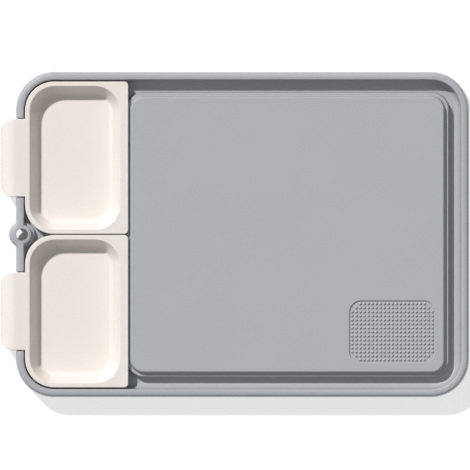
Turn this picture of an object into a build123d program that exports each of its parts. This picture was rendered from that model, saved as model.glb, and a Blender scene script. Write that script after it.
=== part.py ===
"""Cutting board with a juice channel, a grater field and two lift-out trays.

Frame: origin on the table under the middle of the whole board, handles included.
+X runs along the board away from the trays, +Y to its back edge, +Z up.
"""

import os
from math import cos, radians, sqrt, tan

from build123d import *

os.makedirs("parts", exist_ok=True)

# ---------------------------------------------------------------- driving dimensions, mm
board_length = 390.0
board_width = 280.0
board_corner = 32.7
top_height = 22.5
handle_overhang = 13.2

wall = 2.4
side_draft = 3.55
shell_foot = 1.5
rim_outer_bevel = 1.3
rim_inner_bevel = 0.9
rim_width = 7.0

channel_depth = 12.5
channel_draft = 4.0
channel_cove = 5.5
tier_inset = 18.1
tier_drop = 4.7
tier_draft = 8.7

plate_inset = 20.5
plate_left = -90.6
plate_draft = 17.0
plate_bevel = 0.7
tier_lip = plate_inset - tier_inset

shelf_drop = 9.4
dam_x = -93.5
dam_draft = 20.0
groove_inset = 5.1
groove_draft = 29.0
shelf_bay_inset = 12.0

tray_gap = 0.8
tray_width = 131.2
tray_left_gap = 8.0
tray_right = -91.6
tray_outer_corner = 25.0
tray_inner_corner = 3.5
tray_skin = 2.2
skirt_height = 4.5
flange_width = 4.0
flange_right = 7.2
basin_depth = 15.2
basin_draft = 25.0
basin_cove = 4.5
pocket_gap = 0.9

handle_width = 67.0
handle_corner = 10.0
handle_skin = 2.6
notch_gap = 0.8
notch_clearance = 0.5

ring_x = -183.1
ring_hole = 5.2
ring_top = 8.4
ring_step = 10.7
lug_radius = 11.2
lug_under = 9.5
lug_blend = 4.0

grater_x = 135.4
grater_y = -83.6
grater_length = 73.9
grater_width = 53.7
grater_corner = 10.0
grater_depth = 1.2
tooth_pitch = 3.45
tooth_height = 1.1
tooth_root = 0.5
tooth_columns = 21
tooth_rows = 15
corner_steps = 2

rib_pitch = 38.5
rib_row_pitch = 77.0
rib_skin = 1.8
rib_foot = 3.2
rib_columns = 9
rib_rows = 3

pad_width = 17.0
pad_height = 2.7
pad_corner_cut = 4.0
pad_inset = 20.0
pad_play = 0.1
pad_boss_skin = 2.0
pad_bevel = 0.5

# ---------------------------------------------------------------- worked-out sizes
board_x = handle_overhang / 2
board_left = board_x - board_length / 2
board_right = board_x + board_length / 2
shell_height = top_height - shell_foot
channel_floor = top_height - channel_depth
ledge = top_height - tier_drop
shelf = top_height - shelf_drop
deck_under = ledge - wall
channel_under = channel_floor - wall
shelf_under = shelf - wall
basin_floor = top_height - basin_depth
tray_foot = basin_floor - tray_skin
pocket_under = tray_foot - wall

tier_right = board_right - tier_inset
tier_left = plate_left - tier_lip
tier_x = (tier_left + tier_right) / 2
tier_length = tier_right - tier_left
tier_width = board_width - 2 * tier_inset
tier_corner = board_corner - tier_inset

plate_right = board_right - plate_inset
plate_x = (plate_left + plate_right) / 2
plate_length = plate_right - plate_left
plate_width = board_width - 2 * plate_inset
plate_corner = board_corner - plate_inset

tray_left = board_left + tray_left_gap
tray_length = tray_right - tray_left
tray_x = (tray_left + tray_right) / 2
tray_y = (tray_width + tray_gap) / 2
basin_length = tray_length - flange_width - flange_right
basin_width = tray_width - 2 * flange_width
basin_x = tray_left + flange_width + basin_length / 2
basin_corner = tray_outer_corner - flange_width + 0.5

pad_spots = {
    "foot_rear_left": (board_left + pad_inset, board_width / 2 - pad_inset),
    "foot_rear_middle": (board_x, board_width / 2 - pad_inset),
    "foot_rear_right": (board_right - pad_inset, board_width / 2 - pad_inset),
    "foot_front_left": (board_left + pad_inset, pad_inset - board_width / 2),
    "foot_front_middle": (board_x, pad_inset - board_width / 2),
    "foot_front_right": (board_right - pad_inset, pad_inset - board_width / 2),
}

shelf_rise = shelf - channel_floor
bay_height = deck_under - channel_under
handle_inner = handle_overhang - handle_skin
handle_under = top_height - handle_skin
notch_floor = handle_under - notch_clearance
core_inset = wall + (deck_under - shell_foot) * tan(radians(side_draft))


# ---------------------------------------------------------------- shared outlines
def slope(height, draft):
    """Sideways run of a drafted wall over a height."""
    return height * tan(radians(draft))


def board_outline(inset):
    """Rounded rectangle that runs inside the board's foot line at an even distance."""
    with Locations((board_x, 0)):
        RectangleRounded(
            board_length - 2 * inset, board_width - 2 * inset, board_corner - inset
        )


def tier_outline(inset):
    """Outline of the step that carries the cutting plate, at an even distance inside its rim."""
    with Locations((tier_x, 0)):
        RectangleRounded(
            tier_length - 2 * inset, tier_width - 2 * inset, tier_corner - inset
        )


def basin_outline(inset, tray_centre):
    """Outline of a tray's basin at an even distance inside its opening."""
    with Locations((basin_x, tray_centre)):
        RectangleRounded(
            basin_length - 2 * inset, basin_width - 2 * inset, basin_corner - inset
        )


def jacket_outline(inset, tray_centre):
    """The basin's outline with its corners cut straight, for the outside of a pocket."""
    with BuildSketch(mode=Mode.PRIVATE) as jacket:
        Rectangle(basin_length - 2 * inset, basin_width - 2 * inset)
        chamfer(jacket.vertices(), (2 - sqrt(2)) * (basin_corner - inset))
    with Locations((basin_x, tray_centre)):
        add(jacket.sketch)


def tray_outline(inset, tray_centre, mode=Mode.ADD):
    """Outline of a tray's flange: wide corners on the handle side, small ones by the plate."""
    with BuildSketch(mode=Mode.PRIVATE) as flange:
        Rectangle(tray_length - 2 * inset, tray_width - 2 * inset)
        fillet(flange.vertices().group_by(Axis.X)[0], tray_outer_corner - inset)
        fillet(flange.vertices().group_by(Axis.X)[-1], tray_inner_corner - inset)
    with Locations((tray_x, tray_centre)):
        add(flange.sketch, mode=mode)


def ring_outline(radius):
    """Disc round the hanging hole, kept to the side of the rim that faces the trays."""
    with Locations((ring_x, 0)):
        Circle(radius)
        Rectangle(
            2 * radius, 2 * radius, align=(Align.MIN, Align.CENTER), mode=Mode.INTERSECT
        )


def pad_outline(spots, margin):
    """Squares with cut corners, a margin larger all round than a foot pad."""
    with BuildSketch(mode=Mode.PRIVATE) as square:
        Rectangle(pad_width, pad_width)
        chamfer(square.vertices(), pad_corner_cut)
        offset(amount=margin, kind=Kind.INTERSECTION)
    with Locations(*spots):
        add(square.sketch)


def niche_outline(radius):
    """Half-round bay under the lug, open through the side wall."""
    with Locations((ring_x, 0)):
        Circle(radius)
        Rectangle(2 * lug_radius, 2 * radius, align=(Align.MAX, Align.CENTER))


def comb_outline(count):
    """Saw-tooth profile of a row of grater teeth on a root strip, middle on the origin."""
    start = -count * tooth_pitch / 2
    points = [(start, -tooth_root), (start, 0)]
    for tooth in range(count):
        points.append((start + (tooth + 0.5) * tooth_pitch, tooth_height))
        points.append((start + (tooth + 1) * tooth_pitch, 0))
    points.append((-start, -tooth_root))
    Polygon(*points, align=None)


tier_foot_inset = -slope(ledge - channel_floor, tier_draft)
sloped_skin = tray_skin / cos(radians(basin_draft))
pocket_inset = (
    slope(shelf_drop, basin_draft) - (tray_skin + pocket_gap) / cos(radians(basin_draft))
)
lug_wall_x = board_left + slope(lug_under - shell_foot, side_draft)


# ---------------------------------------------------------------- forms cut from the shell
# The tub inside the rim: a drafted pan with a wide cove, less the tier and the tray shelf.
with BuildPart() as tub:
    with BuildSketch(Plane.XY.offset(channel_floor)):
        board_outline(rim_width + slope(channel_depth, channel_draft))
    extrude(amount=channel_depth, taper=-channel_draft)
    fillet(tub.faces().sort_by(Axis.Z)[0].edges(), channel_cove)

    with BuildSketch(Plane.XY.offset(channel_floor)):
        tier_outline(tier_foot_inset)
    extrude(amount=ledge - channel_floor, taper=tier_draft, mode=Mode.SUBTRACT)

    with BuildSketch(Plane.XY.offset(channel_floor)):
        with Locations((dam_x + slope(shelf_rise, dam_draft), 0)):
            Rectangle(board_length, 2 * board_width, align=(Align.MAX, Align.CENTER))
    extrude(amount=shelf_rise, taper=dam_draft, mode=Mode.SUBTRACT)

# Each tray pocket in the shelf follows the basin's own slope, a little larger all round.
pockets = []
pocket_jackets = []
for centre in (tray_y, -tray_y):
    with BuildPart() as pocket:
        with BuildSketch(Plane.XY.offset(shelf)):
            basin_outline(pocket_inset, centre)
        extrude(amount=tray_foot - shelf, taper=basin_draft)
    with BuildPart() as pocket_jacket:
        with BuildSketch(Plane.XY.offset(shelf)):
            jacket_outline(pocket_inset - wall / cos(radians(basin_draft)), centre)
        extrude(amount=pocket_under - shelf, taper=basin_draft)
    pockets.append(pocket.part)
    pocket_jackets.append(pocket_jacket.part)

# A groove rises inside the rim and tapers upwards between the side wall and the cove.
with BuildPart() as rim_groove:
    with BuildSketch(Plane.XY.offset(channel_under)):
        board_outline(core_inset)
    extrude(amount=bay_height)
    with BuildSketch(Plane.XY.offset(deck_under)):
        board_outline(groove_inset)
    extrude(amount=-bay_height, taper=groove_draft, mode=Mode.SUBTRACT)

# The open underside: a pan under the channel and deeper bays under the tier and the shelf,
# crossed by ribs, with the groove round the edge.
with BuildPart() as underside:
    with BuildSketch(Plane.XY.offset(shell_foot)):
        board_outline(core_inset)
    extrude(amount=channel_under - shell_foot)
    with BuildSketch(Plane.XY.offset(channel_under)):
        tier_outline(wall)
    extrude(amount=bay_height)
    with BuildSketch(Plane.XY.offset(channel_under)):
        board_outline(shelf_bay_inset)
        with Locations((dam_x - wall, 0)):
            Rectangle(
                board_length,
                board_width,
                align=(Align.MIN, Align.CENTER),
                mode=Mode.SUBTRACT,
            )
    extrude(amount=shelf_under - channel_under)

    with BuildSketch(Plane.XY.offset(rib_foot)):
        with Locations((plate_x - rib_pitch, 0)):
            with GridLocations(rib_pitch, board_width, rib_columns, 1):
                Rectangle(rib_skin, board_width)
        with GridLocations(board_length, rib_row_pitch, 1, rib_rows):
            Rectangle(2 * board_length, rib_skin)
    extrude(amount=top_height, mode=Mode.SUBTRACT)
    add(rim_groove.part)
    for jacket in pocket_jackets:
        add(jacket, mode=Mode.SUBTRACT)
    with BuildSketch(Plane.XY):
        niche_outline(ring_step)
    extrude(amount=top_height, mode=Mode.SUBTRACT)
    with BuildSketch(Plane.XY):
        pad_outline(pad_spots.values(), pad_play + pad_boss_skin)
    extrude(amount=top_height, mode=Mode.SUBTRACT)

# ---------------------------------------------------------------- base shell
with BuildPart() as base_shell:
    with BuildSketch(Plane.XY.offset(shell_foot)):
        board_outline(0)
    extrude(amount=shell_height, taper=side_draft)
    # the hanging lug stands out of the side wall as a drafted half round
    with BuildSketch(Plane.XY.offset(lug_under)) as lug_sketch:
        with Locations((lug_wall_x, 0)):
            Rectangle(
                2 * ring_step, 4 * lug_radius, align=(Align.MIN, Align.CENTER)
            )
        with Locations((ring_x, 0)):
            Circle(lug_radius)
        neck = lug_sketch.vertices().filter_by(
            lambda v: abs(v.X - lug_wall_x) < 0.01 and abs(v.Y) < lug_radius
        )
        fillet(neck, lug_blend)
    extrude(amount=top_height - lug_under, taper=side_draft)
    outer_edges = base_shell.faces().sort_by(Axis.Z)[-1].outer_wire().edges()
    chamfer(outer_edges, rim_outer_bevel)

    add(tub.part, mode=Mode.SUBTRACT)
    # the ring of the hanging hole and its step stand in the tray bay
    with BuildSketch(Plane.XY.offset(channel_floor)):
        ring_outline(ring_step)
    extrude(amount=ledge - channel_floor)
    with BuildSketch(Plane.XY.offset(ledge)):
        ring_outline(ring_top)
    extrude(amount=tier_drop)
    rim_face = base_shell.faces().filter_by(Plane.XY).sort_by(Axis.Z)[-1]
    chamfer(rim_face.inner_wires()[0].edges(), rim_inner_bevel)

    for pocket_form in pockets:
        add(pocket_form, mode=Mode.SUBTRACT)
    add(underside.part, mode=Mode.SUBTRACT)

    # notches that let the tray handles out over the rim
    with BuildSketch(Plane.XY.offset(notch_floor)):
        with Locations((board_left, tray_y), (board_left, -tray_y)):
            Rectangle(4 * rim_width, handle_width + 2 * notch_gap)
    extrude(amount=top_height, mode=Mode.SUBTRACT)
    # finger niche under the lug, and the hanging hole
    with BuildSketch(Plane.XY):
        niche_outline(ring_step - wall)
    extrude(amount=lug_under, mode=Mode.SUBTRACT)
    with BuildSketch(Plane.XY):
        with Locations((ring_x, 0)):
            Circle(ring_hole)
    extrude(amount=top_height, mode=Mode.SUBTRACT)
    # seats for the foot pads
    with BuildSketch(Plane.XY):
        pad_outline(pad_spots.values(), pad_play)
    extrude(amount=pad_height, mode=Mode.SUBTRACT)
base_shell.part.label = "base_shell"

# ---------------------------------------------------------------- cutting plate
# Two combs cross to give pointed teeth, and stepped corners leave out those in the way of
# the recess's round corners.
with BuildPart() as grater_field:
    with BuildSketch(Plane.XZ):
        comb_outline(tooth_columns)
    extrude(amount=grater_width, both=True)
    with BuildSketch(Plane.YZ):
        comb_outline(tooth_rows)
    extrude(amount=grater_length, both=True, mode=Mode.INTERSECT)
    with BuildSketch(Plane.XY.offset(-tooth_root)):
        for step in range(corner_steps + 1):
            Rectangle(
                (tooth_columns - 2 * step) * tooth_pitch,
                (tooth_rows - 2 * (corner_steps - step)) * tooth_pitch,
            )
    extrude(amount=tooth_root + tooth_height, mode=Mode.INTERSECT)

with BuildPart() as cutting_plate:
    with BuildSketch(Plane.XY.offset(ledge)):
        with Locations((plate_x, 0)):
            RectangleRounded(plate_length, plate_width, plate_corner)
    extrude(amount=tier_drop, taper=plate_draft)
    chamfer(cutting_plate.faces().sort_by(Axis.Z)[-1].edges(), plate_bevel)
    with BuildSketch(Plane.XY.offset(top_height - grater_depth)):
        with Locations((grater_x, grater_y)):
            RectangleRounded(grater_length, grater_width, grater_corner)
    extrude(amount=grater_depth, mode=Mode.SUBTRACT)
    with Locations((grater_x, grater_y, top_height - grater_depth)):
        add(grater_field.part)
cutting_plate.part.label = "cutting_plate"

# ---------------------------------------------------------------- trays
trays = []
for name, centre in (("tray_rear", tray_y), ("tray_front", -tray_y)):
    with BuildPart() as handle:
        with BuildSketch(Plane.XZ.offset(-centre)):
            with BuildLine():
                Line((tray_left + flange_width / 2, top_height), (board_left, top_height))
                CenterArc((board_left, top_height - handle_overhang), handle_overhang, 90, 90)
                Line(
                    (board_left - handle_overhang, top_height - handle_overhang),
                    (board_left - handle_inner, top_height - handle_overhang),
                )
                CenterArc((board_left, top_height - handle_overhang), handle_inner, 180, -90)
                Line((board_left, handle_under), (tray_left + flange_width / 2, handle_under))
                Line(
                    (tray_left + flange_width / 2, handle_under),
                    (tray_left + flange_width / 2, top_height),
                )
            make_face()
        extrude(amount=handle_width / 2, both=True)
        with BuildSketch(Plane.XY) as grip_sketch:
            with Locations((board_left - handle_overhang, centre)):
                Rectangle(
                    4 * handle_overhang, handle_width, align=(Align.MIN, Align.CENTER)
                )
            fillet(grip_sketch.vertices().group_by(Axis.X)[0], handle_corner)
        extrude(amount=2 * top_height, mode=Mode.INTERSECT)

    with BuildPart() as basin:
        with BuildSketch(Plane.XY.offset(top_height)):
            basin_outline(0, centre)
        extrude(amount=-basin_depth, taper=basin_draft)
        fillet(basin.faces().sort_by(Axis.Z)[0].edges(), basin_cove)

    with BuildPart() as tray:
        with BuildSketch(Plane.XY.offset(top_height)):
            tray_outline(0, centre)
        extrude(amount=-tray_skin)
        with BuildSketch(Plane.XY.offset(top_height - tray_skin)):
            tray_outline(0, centre)
            tray_outline(tray_skin, centre, mode=Mode.SUBTRACT)
        extrude(amount=tray_skin - skirt_height)
        with BuildSketch(Plane.XY.offset(top_height - tray_skin)):
            basin_outline(slope(tray_skin, basin_draft) - sloped_skin, centre)
        extrude(amount=tray_foot + tray_skin - top_height, taper=basin_draft)
        add(handle.part)
        add(basin.part, mode=Mode.SUBTRACT)
    tray.part.label = name
    trays.append(tray.part)

# ---------------------------------------------------------------- foot pads
pads = []
for name, spot in pad_spots.items():
    with BuildPart() as pad:
        with BuildSketch(Plane.XY):
            pad_outline([spot], 0)
        extrude(amount=pad_height)
        chamfer(pad.faces().sort_by(Axis.Z)[0].edges(), pad_bevel)
    pad.part.label = name
    pads.append(pad.part)

for piece in (base_shell.part, cutting_plate.part, *trays, *pads):
    export_step(piece, f"parts/{piece.label}.step")
    size = piece.bounding_box().size
    print(f"{piece.label}: {size.X:.1f} x {size.Y:.1f} x {size.Z:.1f}, valid {piece.is_valid}")
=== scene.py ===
# %% [markdown]
# # A cutting board with two lift-out trays
#
# This notebook dresses the CAD model of a moulded kitchen board.
# The board is one grey shell with a raised cutting plate, a juice channel, a hanging hole and two
# cream trays whose handles roll over the rim.
#
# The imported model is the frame. It says where every piece is and how the trays move, so nothing
# here moves a piece. What this notebook adds is what a camera sees at close range: rounded edges,
# soft coves, small blunt teeth, the grain of moulded plastic, and the light.

from math import cos, pi, radians, sin, sqrt, tan

import bmesh
import bpy
import numpy as np
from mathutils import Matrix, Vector


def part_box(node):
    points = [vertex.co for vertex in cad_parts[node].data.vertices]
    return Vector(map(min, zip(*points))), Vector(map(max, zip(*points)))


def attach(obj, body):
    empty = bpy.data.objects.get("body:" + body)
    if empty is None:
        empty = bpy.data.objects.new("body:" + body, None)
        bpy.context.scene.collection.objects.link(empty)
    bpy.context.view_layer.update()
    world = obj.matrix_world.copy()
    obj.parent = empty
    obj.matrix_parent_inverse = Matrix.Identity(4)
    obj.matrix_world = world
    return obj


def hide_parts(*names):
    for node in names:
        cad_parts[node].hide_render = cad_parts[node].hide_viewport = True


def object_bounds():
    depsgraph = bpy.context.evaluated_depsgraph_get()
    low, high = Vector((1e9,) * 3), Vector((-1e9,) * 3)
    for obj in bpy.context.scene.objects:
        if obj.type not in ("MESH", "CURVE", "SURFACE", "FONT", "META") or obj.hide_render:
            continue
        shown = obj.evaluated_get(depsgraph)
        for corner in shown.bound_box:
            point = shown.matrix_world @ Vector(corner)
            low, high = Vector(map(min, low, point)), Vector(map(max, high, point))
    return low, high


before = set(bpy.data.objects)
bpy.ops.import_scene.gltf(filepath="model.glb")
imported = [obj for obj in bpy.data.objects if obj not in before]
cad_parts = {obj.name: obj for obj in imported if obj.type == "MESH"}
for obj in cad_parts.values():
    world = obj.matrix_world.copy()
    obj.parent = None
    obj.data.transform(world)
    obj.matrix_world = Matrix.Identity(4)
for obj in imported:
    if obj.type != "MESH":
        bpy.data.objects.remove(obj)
cad_low, cad_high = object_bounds()
print("CAD nodes:", ", ".join(sorted(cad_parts)))

# %% [markdown]
# ## Sizes
#
# The boxes of the CAD nodes give the places. The small sizes, such as skins, slopes and edge
# rounds, can't be read from a box, so they are named here once, in metres.
# Working from the boxes keeps the new surfaces in step if the CAD model changes.

# %% Sizes
plate_low, plate_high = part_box("cutting_plate")
top = plate_high.z

# trays
handle_reach = 0.0132
handle_half = 0.0335
handle_corner = 0.010
handle_skin = 0.0026
tray_left_gap = 0.008
outer_corner = 0.025
inner_corner = 0.0035
tray_skin = 0.0022
skirt = 0.0045
flange = 0.004
flange_right = 0.0072
basin_corner = 0.0215
basin_depth = 0.0152
basin_draft = radians(25)
basin_cove = 0.0045
tray_round = 0.0008
mouth_round = 0.0009
foot_round = 0.0003

# plate and grater field
plate_corner = 0.0122
plate_draft = radians(17)
plate_round = 0.0012
grater_middle = (0.1354, -0.0836)
grater_size = (0.0739, 0.0537)
grater_corner = 0.010
grater_depth = 0.0012
grater_round = 0.0002
tooth_pitch = 0.00345
tooth_base = 0.0013
tooth_height = 0.0012
tooth_root = 0.0002
tooth_columns = 21
tooth_rows = 15
empty_steps = 2

# how finely the curves are cut
quarter_steps = 12
round_steps = 6
handle_columns = 12
handle_bend_steps = 18
tooth_sides = 8

# where smooth shading stops at an edge
tray_sharp_angle = radians(40)
plate_sharp_angle = radians(50)
shell_sharp_angle = radians(55)
print(f"top of the board at {top * 1000:.1f} mm")

# %% [markdown]
# ## A small kit for closed surfaces
#
# Moulded parts are mostly loops: the same rounded rectangle again and again, a little smaller and
# a little lower each time. A `Skin` collects such loops and joins each one to the next with a
# strip of four-sided faces. Modelling by loops keeps the faces even and the edges controllable,
# which a boolean cut would not.
#
# Every loop runs counter-clockwise seen from above. A chain that starts under the piece, climbs
# its outside and comes back over the top then has all its faces pointing outwards.


# %% Loops and strips
class Skin:
    """Vertices and faces of one piece, built loop by loop."""

    def __init__(self):
        self.points = []
        self.faces = []

    def add(self, points):
        """Adds points and returns their numbers."""
        first = len(self.points)
        self.points.extend(tuple(map(float, p)) for p in points)
        return list(range(first, len(self.points)))

    def chain(self, loops):
        """Joins each closed loop to the next one, point by point."""
        for before, after in zip(loops, loops[1:]):
            for i in range(len(before)):
                j = (i + 1) % len(before)
                self.faces.append((before[i], before[j], after[j], after[i]))

    def grid(self, rows, up):
        """Fills a table of point numbers with four-sided faces that look up or down."""
        for near, far in zip(rows, rows[1:]):
            for j in range(len(near) - 1):
                face = (near[j], far[j], far[j + 1], near[j + 1])
                self.faces.append(face if up else face[::-1])

    def cap(self, loop, up):
        """Closes a flat loop with one face."""
        self.faces.append(tuple(loop) if up else tuple(loop[::-1]))

    def build(self, name):
        """Makes the mesh object."""
        mesh = bpy.data.meshes.new(name)
        mesh.from_pydata(self.points, [], self.faces)
        mesh.validate()
        piece = bpy.data.objects.new(name, mesh)
        bpy.context.scene.collection.objects.link(piece)
        print(f"{name}: {len(mesh.vertices)} points, {len(mesh.polygons)} faces")
        return piece


def even_shading(piece, sharp_angle):
    """Smooth shading that leaves the big flat faces flat: at each corner the larger face wins,
    so a narrow round or bevel takes up the whole turn of the light."""
    piece.data.shade_smooth()
    piece.data.set_sharp_from_angle(angle=sharp_angle)
    weigh = piece.modifiers.new("even_shading", "WEIGHTED_NORMAL")
    weigh.mode = "FACE_AREA"
    weigh.weight = 80
    weigh.keep_sharp = True


print("loop kit ready")

# %% [markdown]
# ## Outlines and edge rounds
#
# Two small formulas make every profile here. A rounded rectangle is four quarter circles in a
# row. A rounded corner of a section is an arc that touches a level face and a sloping wall, and
# such an arc starts at radius times the tangent of half the turn from the sharp corner.


# %% Outlines and profiles
def rounded_rectangle(low, high, radii):
    """Counter-clockwise quarter arcs: lower left, lower right, upper right, upper left."""
    arcs = []
    for turn, (right, rear) in enumerate(((0, 0), (1, 0), (1, 1), (0, 1))):
        r = radii[turn]
        x = high[0] - r if right else low[0] + r
        y = high[1] - r if rear else low[1] + r
        angles = np.linspace(0, pi / 2, quarter_steps + 1) + pi + turn * pi / 2
        arcs.append(np.column_stack([x + r * np.cos(angles), y + r * np.sin(angles)]))
    return np.vstack(arcs)


def at_depth(flat, depth):
    """Flat points as points in space, a depth under the board's top."""
    return np.column_stack([flat, np.full(len(flat), top - depth)])


def corner_profile(radius, turn, inset, depth, inward=True, edge=True):
    """Insets and depths round a section's corner, from the wall onto the level face.
    Inset and depth are those of the sharp corner. The level face lies further in, or further
    out if not inward. The wall falls from it at an edge and rises from it in a cove."""
    start = radius * tan(turn / 2)
    side = 1 if inward else -1
    fall = 1 if edge else -1
    return [
        (inset + side * (start - radius * sin(a)), depth + fall * radius * (1 - cos(a)))
        for a in np.linspace(turn, 0, round_steps + 1)
    ]


print(f"a quarter circle has {quarter_steps} steps and an edge round {round_steps}")

# %% [markdown]
# ## The trays
#
# Each tray is one thin skin: a flange level with the board, a basin with sloping walls, and a
# handle that rolls over the rim like the lip of a bath. A real one is injection moulded, so its
# wall is even and every edge is rounded.
#
# The handle is drawn flat, in line with the flange, and folded last. Folding wraps the distance
# past the rim round a quarter circle: the angle is that distance over the radius. Drawn flat, the
# flange and the handle share one outline, so their edge rounds run on without a seam and bend
# together.


# %% The flat plan of a tray
def mitres(loop):
    """Outward direction at each point of a loop, as long as an offset by 1 needs there."""
    ahead = np.roll(loop, -1, axis=0) - loop
    normal = np.column_stack([ahead[:, 1], -ahead[:, 0]])
    normal /= np.linalg.norm(normal, axis=1, keepdims=True)
    before = np.roll(normal, 1, axis=0)
    return (normal + before) / (1 + (normal * before).sum(axis=1, keepdims=True))


def handle_rows(rim, left):
    """Flat distance and half width of the handle's rows, from the flange to the free edge.
    Seen from above the free corners are quarter circles, so near the end the half width follows
    the circle's height at that distance."""
    rows = [(x, handle_half) for x in (left - foot_round, (left + rim) / 2, rim)]
    for angle in np.linspace(0, pi / 2, handle_bend_steps + 1)[1:]:
        from_end = handle_reach * (1 - sin(angle))
        short = max(handle_corner - from_end, 0.0)
        half = handle_half - handle_corner + sqrt(handle_corner**2 - short**2)
        rows.append((rim - handle_reach * angle, half))
    return rows


def fold(flat, depth, rim):
    """Places flat points: past the rim they wrap round the handle's quarter circle."""
    angle = np.maximum(rim - flat[:, 0], 0.0) / handle_reach
    radius = handle_reach - depth
    x = np.where(angle > 0, rim - radius * np.sin(angle), flat[:, 0])
    z = np.where(angle > 0, top - handle_reach + radius * np.cos(angle), top - depth)
    return np.column_stack([x, flat[:, 1], z])


class TrayPlan:
    """One tray drawn flat: its outline with the handle unrolled, and its basin."""

    def __init__(self, node):
        low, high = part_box(node)
        self.low, self.high = low, high
        self.rim = low.x + handle_reach
        self.left = self.rim + tray_left_gap
        self.middle = (low.y + high.y) / 2
        radii = (outer_corner, inner_corner, inner_corner, outer_corner)
        corners = rounded_rectangle((self.left, low.y), (high.x, high.y), radii)
        front = (self.left, self.middle - handle_half)
        rear = (self.left, self.middle + handle_half)
        rows = handle_rows(self.rim, self.left)
        end_x, end_half = rows[-1]
        across = np.linspace(end_half, -end_half, handle_columns + 1)[1:-1]
        out = [(x, self.middle + half) for x, half in rows]
        end = [(end_x, self.middle + y) for y in across]
        back = [(x, self.middle - half) for x, half in rows[::-1]]
        self.outline = np.vstack([front, corners, rear, out, end, back])
        self.outward = mitres(self.outline)
        self.body = len(corners) + 2
        self.rows = len(rows)

    def offset(self, inset):
        """The flat outline moved inwards."""
        return self.outline - inset * self.outward

    def flange(self, inset, depth):
        """The flange's loop without the handle: the body's points, then the handle's root."""
        body = self.offset(inset)[: self.body]
        root = np.linspace(body[-1], body[0], handle_columns + 1)[1:-1]
        return at_depth(np.vstack([body, root]), depth)

    def lip(self, inset, depth):
        """The edge of the folded handle."""
        return fold(self.offset(inset)[self.body :], depth, self.rim)

    def between(self, inset, depth):
        """Rows of folded points between the handle's two long edges."""
        flat = self.offset(inset)[self.body :]
        for i in range(self.rows - 1):
            inner = np.linspace(flat[i], flat[-1 - i], handle_columns + 1)[1:-1]
            yield fold(inner, depth, self.rim)

    def basin(self, inset, depth):
        """A loop of the basin that matches the flange's loop point for point."""
        low = (self.left + flange + inset, self.low.y + flange + inset)
        high = (self.high.x - flange_right - inset, self.high.y - flange - inset)
        corners = rounded_rectangle(low, high, [basin_corner - inset] * 4)
        along = self.middle + np.linspace(handle_half, -handle_half, handle_columns + 1)
        side = np.column_stack([np.full(len(along), low[0]), along])
        return at_depth(np.vstack([side[-1:], corners, side[:-1]]), depth)


print("flat plan ready")


# %% The skin of a tray
def handle_faces(skin, plan, ring, lip, inset, depth, up):
    """Faces of the handle's upper or lower surface, row by row from its root to its end."""
    rows = [[ring[plan.body - 1], *ring[plan.body :], ring[0]]]
    for i, inner in enumerate(plan.between(inset, depth)):
        rows.append([lip[i], *skin.add(inner), lip[-1 - i]])
    rows.append(lip[plan.rows - 1 : plan.rows + handle_columns])
    skin.grid(rows, up)


def build_tray(node):
    """One closed skin: from under the basin, down the skirt, round the edge and into the basin."""
    plan = TrayPlan(node)
    skin = Skin()
    steep = pi / 2 - basin_draft

    # the underside of the basin is its inside moved out by the skin's thickness
    shift = tray_skin / cos(basin_draft)
    under = basin_depth + tray_skin
    foot = corner_profile(
        basin_cove + tray_skin, steep, under * tan(basin_draft) - shift, under, edge=False
    )
    below = foot[::-1] + [(tray_skin * tan(basin_draft) - shift, tray_skin)]
    loops = [skin.add(plan.basin(*spot)) for spot in below]
    skin.cap(loops[0], up=False)

    # the skirt hangs from the flange and ends above at the handle's underside
    hem = corner_profile(foot_round, pi / 2, 0, skirt, edge=False)[::-1]
    skirt_profile = [(tray_skin, tray_skin), (tray_skin, skirt), *hem, (0, handle_skin)]
    loops += [skin.add(plan.flange(*spot)) for spot in skirt_profile]
    skin.chain(loops)

    # the outer edge of flange and handle together
    ring = loops[-1]
    lip = skin.add(plan.lip(foot_round, handle_skin))
    handle_faces(skin, plan, ring, lip, foot_round, handle_skin, up=False)
    edge = [ring[: plan.body] + lip]
    for inset, depth in corner_profile(foot_round, pi / 2, 0, handle_skin, edge=False)[-2::-1]:
        body = skin.add(plan.flange(0, depth)[: plan.body])
        edge.append(body + skin.add(plan.lip(inset, depth)))
    for inset, depth in corner_profile(tray_round, pi / 2, 0, 0)[:-1]:
        body = skin.add(plan.flange(inset, depth)[: plan.body])
        edge.append(body + skin.add(plan.lip(inset, depth)))
    ring = skin.add(plan.flange(tray_round, 0))
    lip = skin.add(plan.lip(tray_round, 0))
    edge.append(ring[: plan.body] + lip)
    skin.chain(edge)
    handle_faces(skin, plan, ring, lip, tray_round, 0, up=True)

    # over the mouth's edge and down into the basin
    mouth = corner_profile(mouth_round, steep, 0, 0, inward=False)[::-1]
    bottom = corner_profile(
        basin_cove, steep, basin_depth * tan(basin_draft), basin_depth, edge=False
    )
    loops = [ring] + [skin.add(plan.basin(*spot)) for spot in mouth + bottom]
    skin.chain(loops)
    skin.cap(loops[-1], up=True)

    piece = skin.build(f"{node}_skin")
    even_shading(piece, tray_sharp_angle)
    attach(piece, node)
    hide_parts(node)
    return piece


trays = [build_tray(node) for node in ("tray_rear", "tray_front")]

# %% [markdown]
# ## The cutting plate
#
# The plate is a low block with leaning sides and a soft top edge. Its grater field is a shallow
# recess in one corner with rows of small cones. The loops of the plate and of the recess have the
# same number of points, so one strip of faces joins them across the flat top.
#
# The cones stand on the recess floor as bodies of their own, sunk a little so that no gap shows.
# Three hundred of them are cheap if each has few faces, and at this size eight sides look round.
# Their sides are steeper than the light, so each one throws a small dark shadow.


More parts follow.
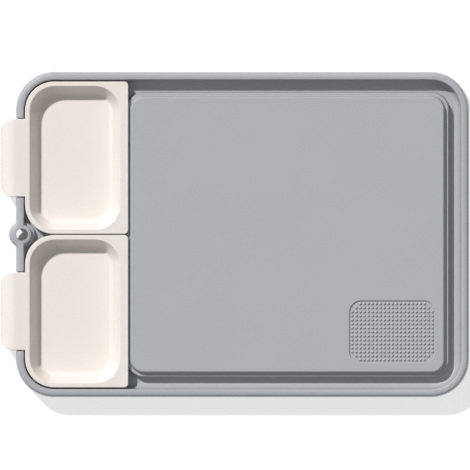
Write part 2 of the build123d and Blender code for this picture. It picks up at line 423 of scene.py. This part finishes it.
# %% Plate and teeth
def tooth_spots():
    """Middles of the teeth: a grid without the places that the recess's round corners take."""
    for column in range(tooth_columns):
        for row in range(tooth_rows):
            from_side = min(column, tooth_columns - 1 - column)
            from_end = min(row, tooth_rows - 1 - row)
            if from_side + from_end >= empty_steps:
                x = grater_middle[0] + (column - (tooth_columns - 1) / 2) * tooth_pitch
                y = grater_middle[1] + (row - (tooth_rows - 1) / 2) * tooth_pitch
                yield x, y


def add_tooth(skin, x, y):
    """A small cone with a blunt tip: rings of a few points, each a share of the base radius
    wide at its height, under one cap."""
    angles = np.linspace(0, 2 * pi, tooth_sides + 1)[:-1]
    circle = np.column_stack([np.cos(angles), np.sin(angles)])
    shape = ((1.05, -tooth_root), (1.0, 0.0), (0.88, 0.55 * tooth_height), (0.42, tooth_height))
    loops = []
    for share, height in shape:
        flat = np.array([x, y]) + share * tooth_base * circle
        loops.append(skin.add(at_depth(flat, grater_depth - height)))
    skin.cap(loops[0], up=False)
    skin.chain(loops)
    skin.cap(loops[-1], up=True)


def plate_loop(inset, depth):
    """The plate's outline."""
    low = (plate_low.x + inset, plate_low.y + inset)
    high = (plate_high.x - inset, plate_high.y - inset)
    return at_depth(rounded_rectangle(low, high, [plate_corner - inset] * 4), depth)


def recess_loop(inset, depth):
    """The grater recess's outline."""
    half = np.array(grater_size) / 2 - inset
    low, high = grater_middle - half, grater_middle + half
    return at_depth(rounded_rectangle(low, high, [grater_corner - inset] * 4), depth)


def build_plate():
    """The plate with its recess as one skin, and the teeth on its floor."""
    skin = Skin()
    height = top - plate_low.z
    lean = height * tan(plate_draft)
    outside = [(0, height)] + corner_profile(plate_round, pi / 2 - plate_draft, lean, 0)
    loops = [skin.add(plate_loop(*spot)) for spot in outside]
    skin.cap(loops[0], up=False)
    mouth = corner_profile(grater_round, pi / 2, 0, 0, inward=False)[::-1]
    floor = corner_profile(grater_round, pi / 2, 0, grater_depth, edge=False)
    loops += [skin.add(recess_loop(*spot)) for spot in mouth + floor]
    skin.chain(loops)
    skin.cap(loops[-1], up=True)
    count = 0
    for x, y in tooth_spots():
        add_tooth(skin, x, y)
        count += 1
    piece = skin.build("plate_skin")
    print(f"{count} teeth")
    even_shading(piece, plate_sharp_angle)
    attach(piece, "board")
    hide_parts("cutting_plate")
    return piece


plate = build_plate()

# %% [markdown]
# ## The shell
#
# The shell's form is already exact in CAD, with its channel, pockets, ribs and lug, so its own
# mesh is used. The CAD mesh is a heap of loose faces, each with hard borders. A copy is welded
# into one skin, and its narrow bevels then get smooth shading, which makes them read as the small
# rounds of a moulding without a single new face.


# %% Shell from the CAD mesh
weld_distance = 2e-6


def welded_copy(node, name):
    """A copy of a CAD node's mesh with its coincident points merged."""
    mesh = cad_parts[node].data.copy()
    mesh.name = name
    for layer in [a for a in mesh.attributes if a.name == "custom_normal"]:
        mesh.attributes.remove(layer)
    loose = len(mesh.vertices)
    welder = bmesh.new()
    welder.from_mesh(mesh)
    bmesh.ops.remove_doubles(welder, verts=welder.verts, dist=weld_distance)
    welder.to_mesh(mesh)
    welder.free()
    piece = bpy.data.objects.new(name, mesh)
    bpy.context.scene.collection.objects.link(piece)
    print(f"{name}: {loose} loose points welded to {len(mesh.vertices)}")
    return piece


shell = welded_copy("base_shell", "shell_skin")
even_shading(shell, shell_sharp_angle)
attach(shell, "board")
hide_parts("base_shell")

# %% [markdown]
# ## Shared surface effects
#
# Two node groups serve every plastic. `moulded_grain` is the fine unevenness that a spark-eroded
# mould leaves, as a height for a bump. `handling` is a slow, cloudy pattern from wiping and
# touching, which makes a surface a little glossier in one place than in another.


# %% Node groups
def new_group(name, inputs, output):
    """An empty node group with float inputs and one float output."""
    group = bpy.data.node_groups.new(name, "ShaderNodeTree")
    for label, value in inputs:
        socket = group.interface.new_socket(
            name=label, in_out="INPUT", socket_type="NodeSocketFloat"
        )
        socket.default_value = value
    group.interface.new_socket(name=output, in_out="OUTPUT", socket_type="NodeSocketFloat")
    source = group.nodes.new("NodeGroupInput")
    sink = group.nodes.new("NodeGroupOutput")
    coordinates = group.nodes.new("ShaderNodeTexCoord")
    return group, source, sink, coordinates.outputs["Object"]


def grain_group():
    """Fine noise with a coarser one under it, as a height from 0 to 1."""
    group, source, sink, place = new_group("moulded_grain", [("Scale", 1800.0)], "Height")
    fine = group.nodes.new("ShaderNodeTexNoise")
    fine.inputs["Detail"].default_value = 2.0
    group.links.new(place, fine.inputs["Vector"])
    group.links.new(source.outputs["Scale"], fine.inputs["Scale"])
    group.links.new(fine.outputs["Fac"], sink.inputs["Height"])
    return group


def handling_group():
    """A slow cloud from 0 to 1."""
    group, source, sink, place = new_group("handling", [("Scale", 14.0)], "Amount")
    cloud = group.nodes.new("ShaderNodeTexNoise")
    cloud.inputs["Detail"].default_value = 4.0
    cloud.inputs["Roughness"].default_value = 0.6
    group.links.new(place, cloud.inputs["Vector"])
    group.links.new(source.outputs["Scale"], cloud.inputs["Scale"])
    group.links.new(cloud.outputs["Fac"], sink.inputs["Amount"])
    return group


moulded_grain = grain_group()
handling = handling_group()
print("node groups:", moulded_grain.name, handling.name)

# %% [markdown]
# ## Plastics
#
# All four finishes are opaque moulded materials, so each is one Principled shader. They differ in
# colour, in gloss and in how coarse the mould's texture is: the shell and the plate are the same
# grey, the trays are a smoother cream, and the foot pads a matt rubber.


# %% Materials
plastic_ior = 1.49
tint_spread = 0.015
grain_strength = 0.5


def plastic(name, colour, roughness, spread, grain_scale, grain_depth, edge_radius=0.0):
    """An opaque plastic: a flat colour that handling clouds a little, a roughness that handling
    spreads, and the mould's grain as a bump. An edge radius softens the light on sharp edges."""
    material = bpy.data.materials.new(name)
    material.use_nodes = True
    nodes, links = material.node_tree.nodes, material.node_tree.links
    shader = nodes["Principled BSDF"]
    shader.inputs["IOR"].default_value = plastic_ior

    touch = nodes.new("ShaderNodeGroup")
    touch.node_tree = handling
    tint = nodes.new("ShaderNodeMix")
    tint.data_type = "RGBA"
    tint.inputs["A"].default_value = (*[(1 - tint_spread) * c for c in colour], 1.0)
    tint.inputs["B"].default_value = (*[(1 + tint_spread) * c for c in colour], 1.0)
    links.new(touch.outputs["Amount"], tint.inputs["Factor"])
    links.new(tint.outputs["Result"], shader.inputs["Base Color"])

    gloss = nodes.new("ShaderNodeMapRange")
    gloss.inputs["From Min"].default_value = 0.3
    gloss.inputs["From Max"].default_value = 0.7
    gloss.inputs["To Min"].default_value = roughness - spread
    gloss.inputs["To Max"].default_value = roughness + spread
    links.new(touch.outputs["Amount"], gloss.inputs["Value"])
    links.new(gloss.outputs["Result"], shader.inputs["Roughness"])

    grain = nodes.new("ShaderNodeGroup")
    grain.node_tree = moulded_grain
    grain.inputs["Scale"].default_value = grain_scale
    bump = nodes.new("ShaderNodeBump")
    bump.inputs["Strength"].default_value = grain_strength
    bump.inputs["Distance"].default_value = grain_depth
    links.new(grain.outputs["Height"], bump.inputs["Height"])
    if edge_radius:
        soft_edge = nodes.new("ShaderNodeBevel")
        soft_edge.samples = 6
        soft_edge.inputs["Radius"].default_value = edge_radius
        links.new(soft_edge.outputs["Normal"], bump.inputs["Normal"])
    links.new(bump.outputs["Normal"], shader.inputs["Normal"])
    return material


grey = (0.396, 0.401, 0.424)
cream = (0.794, 0.737, 0.694)
finishes = {
    "shell": plastic("shell_plastic", grey, 0.40, 0.04, 1800.0, 0.00003, 0.0004),
    "plate": plastic("plate_plastic", grey, 0.50, 0.04, 1500.0, 0.00004),
    "tray": plastic("tray_plastic", cream, 0.33, 0.04, 2400.0, 0.00002),
    "foot_pad": plastic("pad_rubber", (0.20, 0.20, 0.21), 0.80, 0.06, 1200.0, 0.00006),
}


def dress(piece, slot):
    """Gives a piece its finish in place of any other."""
    piece.data.materials.clear()
    piece.data.materials.append(finishes[slot])


dress(shell, "shell")
dress(plate, "plate")
for tray in trays:
    dress(tray, "tray")
pads = [node for name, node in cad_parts.items() if name.startswith("foot_")]
for pad in pads:
    dress(pad, "foot_pad")
print(f"{len(finishes)} finishes on {len(trays) + len(pads) + 2} pieces")

# %% [markdown]
# ## Camera
#
# The photograph looks straight down with hardly any perspective, so the camera stands far off
# with a very long lens. The lens follows from similar triangles: sensor width over focal length
# is picture width over distance.

# %% Camera
camera_distance = 12.0
picture_width = 0.4042
picture_middle = (0.00015, -0.00039)
camera_data = bpy.data.cameras.new("camera")
camera_data.lens = camera_data.sensor_width * (camera_distance - top) / picture_width
camera_data.clip_end = 4 * camera_distance
camera = bpy.data.objects.new("camera", camera_data)
camera.location = (*picture_middle, camera_distance)
bpy.context.scene.collection.objects.link(camera)
bpy.context.scene.camera = camera
print(f"lens {camera_data.lens:.0f} mm")

# %% [markdown]
# ## Light
#
# One sun-like key light from the upper left, half way up the sky, draws the crisp shadows in the
# channel and the trays. An even pale surround fills them to about a quarter of the full tone.
#
# A flat face turned up gets the same light at any height of the sun, because the sun's strength is
# divided by the sine of that height. The height then only sets how long the shadows are.

# %% Key light and surround
scene = bpy.context.scene
flat_level = 1.0
fill_share = 0.26
sun_width = radians(3)
white_level = 1.0
toward_light = Vector((-0.64, 0.77, 0.97)).normalized()
key_data = bpy.data.lights.new("key", "SUN")
key_data.energy = pi * flat_level * (1 - fill_share) / toward_light.z
key_data.angle = sun_width
key = bpy.data.objects.new("key", key_data)
key.rotation_mode = "QUATERNION"
key.rotation_quaternion = toward_light.to_track_quat("Z", "Y")
scene.collection.objects.link(key)


def seen_or_lit(nodes, links, seen, lit):
    """A value that is one thing to the camera, also in a reflection or through glass, and
    another to the rays that carry light."""
    path = nodes.new("ShaderNodeLightPath")
    shown = path.outputs["Is Camera Ray"]
    for label in ("Is Glossy Ray", "Is Transmission Ray"):
        either = nodes.new("ShaderNodeMath")
        either.operation = "MAXIMUM"
        links.new(shown, either.inputs[0])
        links.new(path.outputs[label], either.inputs[1])
        shown = either.outputs["Value"]
    choice = nodes.new("ShaderNodeMapRange")
    choice.inputs["To Min"].default_value = lit
    choice.inputs["To Max"].default_value = seen
    links.new(shown, choice.inputs["Value"])
    return choice.outputs["Result"]


world = bpy.data.worlds.new("surround")
world.use_nodes = True
scene.world = world
world_nodes, world_links = world.node_tree.nodes, world.node_tree.links
surround = world_nodes["Background"]
surround.inputs["Color"].default_value = (1.0, 1.0, 1.0, 1.0)
strength = seen_or_lit(world_nodes, world_links, white_level, flat_level * fill_share)
world_links.new(strength, surround.inputs["Strength"])
print(f"key {key_data.energy:.2f}, fill {flat_level * fill_share:.2f}")

# %% [markdown]
# ## Floor
#
# The floor is a grey sheet that also glows for the camera, so that it comes out white while the
# board's shadow still shows on it, faintly.
#
# The hanging hole looks down on that shadow. A glow would wash it out there, so under the lug the
# sheet is plain white paper without a glow, and the two looks fade into each other around it.

# %% Floor
floor_glow = 0.68
floor_bounce = 0.3
floor_tone = 0.34
paper_tone = 0.95
floor_reach = 6.0
floor_gap = 0.0001
hole_spot = (-0.1831, 0.0, cad_low.z)
fade_start = 0.0055
fade_end = 0.018


def grey_level(value):
    """A grey as a colour."""
    return (value, value, value, 1.0)


def fade_from(nodes, links, spot):
    """0 near a spot and 1 away from it, by the distance on Object coordinates."""
    place = nodes.new("ShaderNodeTexCoord")
    apart = nodes.new("ShaderNodeVectorMath")
    apart.operation = "DISTANCE"
    apart.inputs[1].default_value = spot
    links.new(place.outputs["Object"], apart.inputs[0])
    fade = nodes.new("ShaderNodeMapRange")
    fade.inputs["From Min"].default_value = fade_start
    fade.inputs["From Max"].default_value = fade_end
    links.new(apart.outputs["Value"], fade.inputs["Value"])
    return fade.outputs["Result"]


def paper_material():
    """A matt sheet whose tone and glow depend on the distance from the hanging hole."""
    paper = bpy.data.materials.new("paper")
    paper.use_nodes = True
    nodes, links = paper.node_tree.nodes, paper.node_tree.links
    body = nodes["Principled BSDF"]
    body.inputs["Roughness"].default_value = 1.0
    body.inputs["Specular IOR Level"].default_value = 0.0
    body.inputs["Emission Color"].default_value = grey_level(1.0)
    away = fade_from(nodes, links, hole_spot)

    tone = nodes.new("ShaderNodeMix")
    tone.data_type = "RGBA"
    tone.inputs["A"].default_value = grey_level(paper_tone)
    tone.inputs["B"].default_value = grey_level(floor_tone)
    links.new(away, tone.inputs["Factor"])
    links.new(tone.outputs["Result"], body.inputs["Base Color"])

    glow = nodes.new("ShaderNodeMath")
    glow.operation = "MULTIPLY"
    links.new(seen_or_lit(nodes, links, floor_glow, floor_bounce), glow.inputs[0])
    links.new(away, glow.inputs[1])
    links.new(glow.outputs["Value"], body.inputs["Emission Strength"])
    return paper


sheet = Skin()
square = [(-floor_reach, -floor_reach), (floor_reach, -floor_reach)]
square += [(floor_reach, floor_reach), (-floor_reach, floor_reach)]
sheet.cap(sheet.add([(x, y, cad_low.z - floor_gap) for x, y in square]), up=True)
floor = sheet.build("floor")
floor.data.materials.append(paper_material())
scene.view_settings.view_transform = "Standard"
print("stage set")
